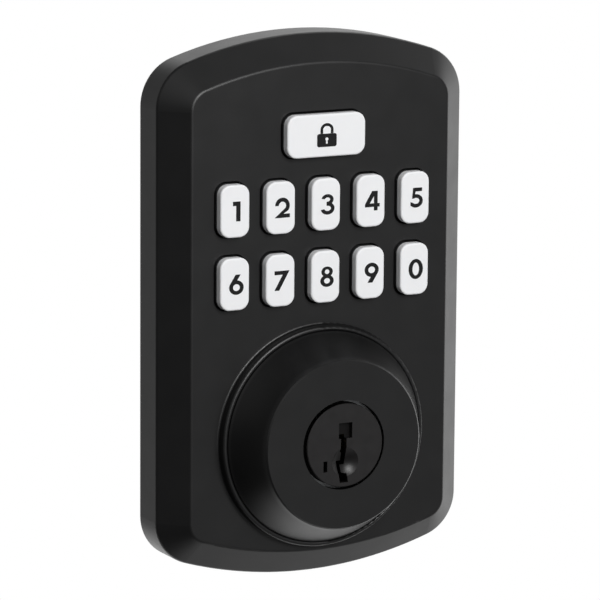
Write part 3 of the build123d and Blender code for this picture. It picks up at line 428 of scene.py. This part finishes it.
def figure_contours():
    """Each figure's outlines in units of its height: the outer edge first, then its holes."""
    points = np.array
    six = np.concatenate([points([(-0.045, 1.0), (0.233, 1.0)]), bow(0, 0.345, 0.405, 0.365, 84, -210, 56)])
    six_hole = bow(0, 0.345, 0.19, 0.172, 0, 350, 36)
    three = np.concatenate(
        [
            bow(-0.01, 0.745, 0.345, 0.275, 168, -40, 36),
            bow(0, 0.295, 0.39, 0.315, 50, -168, 40),
            bow(0, 0.295, 0.19, 0.13, -168, 88, 28),
            points([(-0.06, 0.43), (-0.06, 0.63)]),
            bow(-0.01, 0.745, 0.15, 0.11, -88, 168, 28),
        ]
    )
    two = np.concatenate(
        [
            bow(0, 0.61, 0.41, 0.41, 180, -35, 40),
            points([(0.07, 0.2), (0.42, 0.2), (0.42, 0.0), (-0.44, 0.0)]),
            bow(0, 0.61, 0.205, 0.205, -35, 180, 28),
        ]
    )
    five = np.concatenate(
        [
            points([(-0.21, 1.0), (0.31, 1.0), (0.31, 0.81), (-0.06, 0.81)]),
            bow(-0.04, 0.325, 0.40, 0.345, 97, -130, 40),
            points([(-0.35, 0.085), (-0.35, 0.28)]),
            bow(-0.04, 0.325, 0.20, 0.155, -142, 125, 30),
            points([(-0.265, 0.44)]),
        ]
    )
    eight = np.concatenate(
        [bow(0, 0.755, 0.325, 0.265, -50, 230, 44), bow(0, 0.29, 0.38, 0.31, 122.5, 417.5, 48)]
    )
    one = points([(-0.21, 1.0), (0.21, 1.0), (0.21, 0.0), (-0.03, 0.0), (-0.03, 0.78), (-0.21, 0.78)])
    four = points(
        [
            (-0.42, 0.19),
            (0.09, 0.19),
            (0.09, 0.0),
            (0.30, 0.0),
            (0.30, 0.19),
            (0.42, 0.19),
            (0.42, 0.37),
            (0.30, 0.37),
            (0.30, 1.0),
            (-0.02, 1.0),
            (-0.42, 0.34),
        ]
    )
    four_hole = points([(0.09, 0.37), (0.09, 0.74), (-0.15, 0.37)])
    seven = points([(-0.42, 1.0), (0.42, 1.0), (-0.15, 0.0), (-0.42, 0.0), (0.04, 0.8), (-0.42, 0.8)])
    turned = points([0.0, 1.0])
    return {
        "0": [bow(0, 0.5, 0.415, 0.52, 0, 350, 56), bow(0, 0.5, 0.19, 0.335, 0, 350, 44)],
        "1": [one],
        "2": [two],
        "3": [three],
        "4": [four, four_hole],
        "5": [five],
        "6": [six, six_hole],
        "7": [seven],
        "8": [eight, bow(0, 0.755, 0.13, 0.12, 0, 350, 32), bow(0, 0.29, 0.165, 0.14, 0, 350, 32)],
        "9": [turned - six, turned - six_hole],
    }


def padlock_contours():
    """A closed padlock: a square body with round corners and a keyhole, under an arched shackle."""
    body = np.concatenate(
        [
            bow(0.38, 0.48, 0.10, 0.10, 0, 90, 8),
            bow(-0.38, 0.48, 0.10, 0.10, 90, 180, 8),
            bow(-0.38, 0.10, 0.10, 0.10, 180, 270, 8),
            bow(0.38, 0.10, 0.10, 0.10, 270, 360, 8),
        ]
    )
    shackle = np.concatenate(
        [
            np.array([(0.32, 0.585)]),
            bow(0, 0.76, 0.32, 0.28, 0, 180, 28),
            np.array([(-0.32, 0.585), (-0.19, 0.585)]),
            bow(0, 0.76, 0.19, 0.155, 180, 0, 24),
            np.array([(0.19, 0.585)]),
        ]
    )
    slot = np.array([(-0.045, 0.14), (0.045, 0.14)])
    keyhole = np.concatenate([bow(0, 0.34, 0.075, 0.075, -60, 240, 20), slot])
    return [body, keyhole], [shackle]


def printed(name, contours, centre, height, key):
    """Flat outlines filled and given the thickness of the ink, on a key's face."""
    curve = bpy.data.curves.new(name, "CURVE")
    curve.dimensions = "2D"
    curve.fill_mode = "BOTH"
    curve.extrude = INK_THICKNESS / 2
    for contour in contours:
        spline = curve.splines.new("POLY")
        spline.points.add(len(contour) - 1)
        flat = np.zeros((len(contour), 4))
        flat[:, :2] = (contour - np.array([0.0, 0.5])) * height
        flat[:, 3] = 1.0
        spline.points.foreach_set("co", flat.ravel())
        spline.use_cyclic_u = True
    shape = bpy.data.objects.new(name + "_shape", curve)
    mesh = bpy.data.meshes.new_from_object(shape)
    bpy.data.objects.remove(shape)
    mesh.name = name
    standing = Matrix.Translation(centre) @ Matrix.Rotation(math.pi / 2, 4, "X")
    mesh.transform(standing)
    return new_piece(name, mesh, finishes["ink"], key + "_button")


def print_keys():
    """A figure on each digit key and the padlock sign on the wide one."""
    shapes = figure_contours()
    for digit in DIGITS:
        low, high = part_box(f"key_{digit}")
        middle = (low[0] + high[0]) / 2 + FIGURE_SHIFT
        centre = Vector((middle, low[1] - INK_THICKNESS / 2, (low[2] + high[2]) / 2))
        printed(f"figure_{digit}", shapes[digit], centre, FIGURE_HEIGHT, f"key_{digit}")
    low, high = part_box("key_lock")
    centre = Vector(((low[0] + high[0]) / 2, low[1] - INK_THICKNESS / 2, (low[2] + high[2]) / 2))
    body, shackle = padlock_contours()
    printed("padlock_sign_body", body, centre, SIGN_HEIGHT, "key_lock")
    printed("padlock_sign_shackle", shackle, centre, SIGN_HEIGHT, "key_lock")


# ------------------------------------------------------------------ springs and domes


def tube_mesh(name, grid, closed):
    """A mesh from a grid of points [along, round]: round always closes, along closes or gets end caps."""
    along, around = grid.shape[:2]
    index = np.arange(along * around).reshape(along, around)
    first = index if closed else index[:-1]
    second = np.roll(index, -1, axis=0) if closed else index[1:]
    quads = np.stack([first, np.roll(first, -1, axis=1), np.roll(second, -1, axis=1), second], axis=-1)
    faces = quads.reshape(-1, 4).tolist()
    if not closed:
        faces += [index[0][::-1].tolist(), index[-1].tolist()]
    mesh = bpy.data.meshes.new(name)
    mesh.from_pydata(grid.reshape(-1, 3).tolist(), [], faces)
    mesh.shade_smooth()
    return mesh


def coil_mesh(name, start, end, radius, wire, turns):
    """A wire wound round the line from start to end.

    The middle of the wire turns at radius minus wire while it climbs; three quarters of a turn at
    either end don't climb, as on a ground spring. A circle of the wire's radius stands square to it.
    """
    start, end = np.array(start), np.array(end)
    length = np.linalg.norm(end - start)
    axis = (end - start) / length
    side = np.array([0.0, 1.0, 0.0]) if abs(axis[1]) < 0.5 else np.array([1.0, 0.0, 0.0])
    other = np.cross(axis, side)
    turned = np.linspace(0, turns, int(turns * 28) + 1)
    climb = np.clip((turned - 0.75) / (turns - 1.5), 0, 1)
    angle = 2 * np.pi * turned
    outwards = np.cos(angle)[:, None] * side + np.sin(angle)[:, None] * other
    middle = start + axis * (wire + (length - 2 * wire) * climb)[:, None] + outwards * (radius - wire)
    heading = np.gradient(middle, axis=0)
    heading /= np.linalg.norm(heading, axis=1)[:, None]
    lift = np.cross(heading, outwards)
    round_wire = np.linspace(0, 2 * np.pi, 10, endpoint=False)[None, :, None]
    section = np.cos(round_wire) * outwards[:, None] + np.sin(round_wire) * lift[:, None]
    grid = middle[:, None] + wire * section
    return tube_mesh(name, grid, closed=False)


SPRING_WIRE = 0.13 * MM
SPRING_TURNS = 5.5
SIDEBAR_SPRING_WIRE = 0.09 * MM
SIDEBAR_SPRING_TURNS = 4.5


def wind_springs():
    """One spring over each key pin, and two behind the sidebar."""
    low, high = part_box("tumbler_springs")
    radius = (high[0] - low[0]) / 2
    for number in range(1, 6):
        pin_low, pin_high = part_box(f"key_pin_{number}")
        x = (pin_low[0] + pin_high[0]) / 2
        y = (pin_low[1] + pin_high[1]) / 2
        top = (x, y, high[2])
        mesh = coil_mesh(f"pin_spring_{number}", (x, y, pin_high[2]), top, radius, SPRING_WIRE, SPRING_TURNS)
        piece = new_piece(mesh.name, mesh, finishes["spring_steel"], "key_plug")
        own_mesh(piece)
    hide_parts("tumbler_springs")

    low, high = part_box("sidebar_springs")
    radius = (high[2] - low[2]) / 2
    middle = (high[2] + low[2]) / 2
    for number, y in enumerate((low[1] + radius, high[1] - radius), start=1):
        seat, bar = (high[0], y, middle), (low[0], y, middle)
        name = f"sidebar_spring_{number}"
        mesh = coil_mesh(name, bar, seat, radius, SIDEBAR_SPRING_WIRE, SIDEBAR_SPRING_TURNS)
        piece = bpy.data.objects.new(mesh.name, mesh)
        bpy.context.scene.collection.objects.link(piece)
        wear(piece, finishes["spring_steel"])
        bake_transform(piece)
    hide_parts("sidebar_springs")


KEY_FLANGE = 0.8 * MM  # how far a key's flange stands out round its cap
DOME_INSET = 0.65 * MM
DOME_CORNER = 1.5 * MM
# Section of a dome's wall: distance in from its outside, and height as a share of the dome's.
DOME_SECTION = (
    (0.0, 0.0),
    (0.0, 0.08),
    (0.04, 0.2),
    (0.13, 0.45),
    (0.17, 0.7),
    (0.16, 0.9),
    (0.2, 1.0),
    (0.46, 1.0),
    (0.5, 0.9),
    (0.49, 0.7),
    (0.45, 0.45),
    (0.46, 0.2),
    (0.5, 0.08),
    (0.5, 0.0),
)


def round_loop(half_width, half_height, corner, steps=8):
    """Points round a rectangle with round corners: a quarter circle about each corner's centre."""
    x, z = half_width - corner, half_height - corner
    corners = ((x, z, 0), (-x, z, 90), (-x, -z, 180), (x, -z, 270))
    return np.concatenate([bow(cx, cz, corner, corner, a, a + 90, steps) for cx, cz, a in corners])


def mould_domes():
    """A thin silicone wall under each key, on the case; the real one folds as the key goes down, this mesh
    stays still.
    """
    low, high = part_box("key_domes")
    for key in [f"key_{digit}" for digit in DIGITS] + ["key_lock"]:
        key_low, key_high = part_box(key)
        middle = ((key_low[0] + key_high[0]) / 2, (key_low[2] + key_high[2]) / 2)
        half_width = (key_high[0] - key_low[0]) / 2 - KEY_FLANGE - DOME_INSET
        half_height = (key_high[2] - key_low[2]) / 2 - KEY_FLANGE - DOME_INSET
        loops = []
        for inset, rise in DOME_SECTION:
            inset *= MM
            flat = round_loop(half_width - inset, half_height - inset, DOME_CORNER - inset)
            loop = np.empty((len(flat), 3))
            loop[:, 0] = middle[0] + flat[:, 0]
            loop[:, 1] = high[1] + (low[1] - high[1]) * rise
            loop[:, 2] = middle[1] + flat[:, 1]
            loops.append(loop)
        mesh = tube_mesh(f"{key}_dome", np.array(loops), closed=True)
        piece = new_piece(mesh.name, mesh, finishes["key_silicone"], "case")
        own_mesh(piece)
    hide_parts("key_domes")


# ------------------------------------------------------------------ light, floor and camera

SIGHT = (-27.413, 10.773, 0.422)  # azimuth, elevation and roll of the camera in degrees
TARGET = Vector((1.787, 0.0, 26.2)) * MM
DISTANCE = 895.9 * MM
LENS = 256.0
FLOOR_LEVEL = -160 * MM
FLOOR_REACH = 12.0


def make_camera():
    azimuth, elevation, roll = (math.radians(angle) for angle in SIGHT)
    back = Vector(
        (
            math.sin(azimuth) * math.cos(elevation),
            -math.cos(azimuth) * math.cos(elevation),
            math.sin(elevation),
        )
    )
    level = Vector((0, 0, 1)).cross(back).normalized()
    rise = back.cross(level)
    right = level * math.cos(roll) + rise * math.sin(roll)
    up = rise * math.cos(roll) - level * math.sin(roll)
    data = bpy.data.cameras.new("camera")
    data.lens = LENS
    data.sensor_width = 36.0
    data.clip_start = 0.01
    camera = bpy.data.objects.new("camera", data)
    place = TARGET + back * DISTANCE
    camera.matrix_world = Matrix(
        (
            (right.x, up.x, back.x, place.x),
            (right.y, up.y, back.y, place.y),
            (right.z, up.z, back.z, place.z),
            (0, 0, 0, 1),
        )
    )
    bpy.context.scene.collection.objects.link(camera)
    bpy.context.scene.camera = camera


# Soft patches of the studio: direction, how bright, and how far they reach in degrees.
STUDIO_LEVEL = 0.05
STUDIO_PATCHES = (
    ((0.93, 0.35, -0.12), 2.1, 50.0),
    ((-0.35, 0.93, -0.1), 0.42, 60.0),
    ((0.5, 0.6, 0.62), 2.0, 42.0),
    ((0.05, 0.62, -0.78), 1.75, 45.0),
    ((0.35, -0.1, -0.93), 0.4, 55.0),
    ((0.6, -0.78, -0.19), 0.28, 42.0),
    ((-0.75, -0.35, 0.56), 0.5, 45.0),
    ((0.45, -0.3, 0.84), 0.3, 35.0),
)
KEY_LIGHT = ((0.0, -0.91, 0.41), 1.3, 0.6, 15.6)  # direction, distance, size, power


def make_studio():
    """A pale room: an even level, with soft patches that fade with the angle from their middle."""
    world = bpy.data.worlds.new("studio")
    bpy.context.scene.world = world
    world.use_nodes = True
    tree = world.node_tree
    tree.nodes.clear()
    direction = tree.nodes.new("ShaderNodeTexCoord").outputs["Generated"]
    total = None
    for towards, amount, width in STUDIO_PATCHES:
        dot = tree.nodes.new("ShaderNodeVectorMath")
        dot.operation = "DOT_PRODUCT"
        tree.links.new(direction, dot.inputs[0])
        dot.inputs[1].default_value = Vector(towards).normalized()
        fade = tree.nodes.new("ShaderNodeMapRange")
        fade.interpolation_type = "SMOOTHSTEP"
        fade.inputs["From Min"].default_value = math.cos(math.radians(width))
        fade.inputs["From Max"].default_value = 1.0
        fade.inputs["To Max"].default_value = amount
        tree.links.new(dot.outputs["Value"], fade.inputs["Value"])
        add = tree.nodes.new("ShaderNodeMath")
        add.operation = "ADD"
        tree.links.new(fade.outputs["Result"], add.inputs[0])
        if total is None:
            add.inputs[1].default_value = STUDIO_LEVEL
        else:
            tree.links.new(total, add.inputs[1])
        total = add.outputs[0]
    seen = tree.nodes.new("ShaderNodeLightPath").outputs["Is Camera Ray"]
    mix = tree.nodes.new("ShaderNodeMix")
    tree.links.new(seen, mix.inputs["Factor"])
    tree.links.new(total, mix.inputs["A"])
    mix.inputs["B"].default_value = 1.0
    background = tree.nodes.new("ShaderNodeBackground")
    tree.links.new(mix.outputs["Result"], background.inputs["Strength"])
    output = tree.nodes.new("ShaderNodeOutputWorld")
    tree.links.new(background.outputs[0], output.inputs[0])


def make_floor():
    """A wide pale floor well below the lock."""
    mesh = bpy.data.meshes.new("floor")
    flat = ((-1, -1), (1, -1), (1, 1), (-1, 1))
    corners = [(x * FLOOR_REACH, y * FLOOR_REACH, FLOOR_LEVEL) for x, y in flat]
    mesh.from_pydata(corners, [], [(0, 1, 2, 3)])
    floor = bpy.data.objects.new("floor", mesh)
    bpy.context.scene.collection.objects.link(floor)
    material = bpy.data.materials.new("pale_floor")
    material.use_nodes = True
    tree = material.node_tree
    shader = tree.nodes["Principled BSDF"]
    shader.inputs["Base Color"].default_value = (0.72, 0.72, 0.72, 1)
    shader.inputs["Roughness"].default_value = 0.9
    glow = tree.nodes.new("ShaderNodeEmission")
    seen = tree.nodes.new("ShaderNodeLightPath").outputs["Is Camera Ray"]
    mix = tree.nodes.new("ShaderNodeMixShader")
    tree.links.new(seen, mix.inputs[0])
    tree.links.new(shader.outputs[0], mix.inputs[1])
    tree.links.new(glow.outputs[0], mix.inputs[2])
    tree.links.new(mix.outputs[0], tree.nodes["Material Output"].inputs["Surface"])
    mesh.materials.append(material)
    floor.visible_glossy = False
    floor.visible_diffuse = False


def make_key_light():
    """One large soft box in front of the lock and a little above it."""
    towards, distance, size, power = KEY_LIGHT
    data = bpy.data.lights.new("soft_box", "AREA")
    data.shape = "SQUARE"
    data.size = size
    data.energy = power
    light = bpy.data.objects.new("soft_box", data)
    back = Vector(towards).normalized()
    facing = back.to_track_quat("Z", "Y").to_matrix().to_4x4()
    light.matrix_world = Matrix.Translation(TARGET + back * distance) @ facing
    bpy.context.scene.collection.objects.link(light)


# ------------------------------------------------------------------ the whole lock

finishes = make_finishes()
for entry in frame["record"]["subparts"]:
    wear(nodes[entry["node"]], finishes[entry["material_slot"]])
print_keys()
wind_springs()
mould_domes()
make_camera()
make_studio()
make_floor()
make_key_light()
bpy.context.scene.view_settings.view_transform = "Standard"
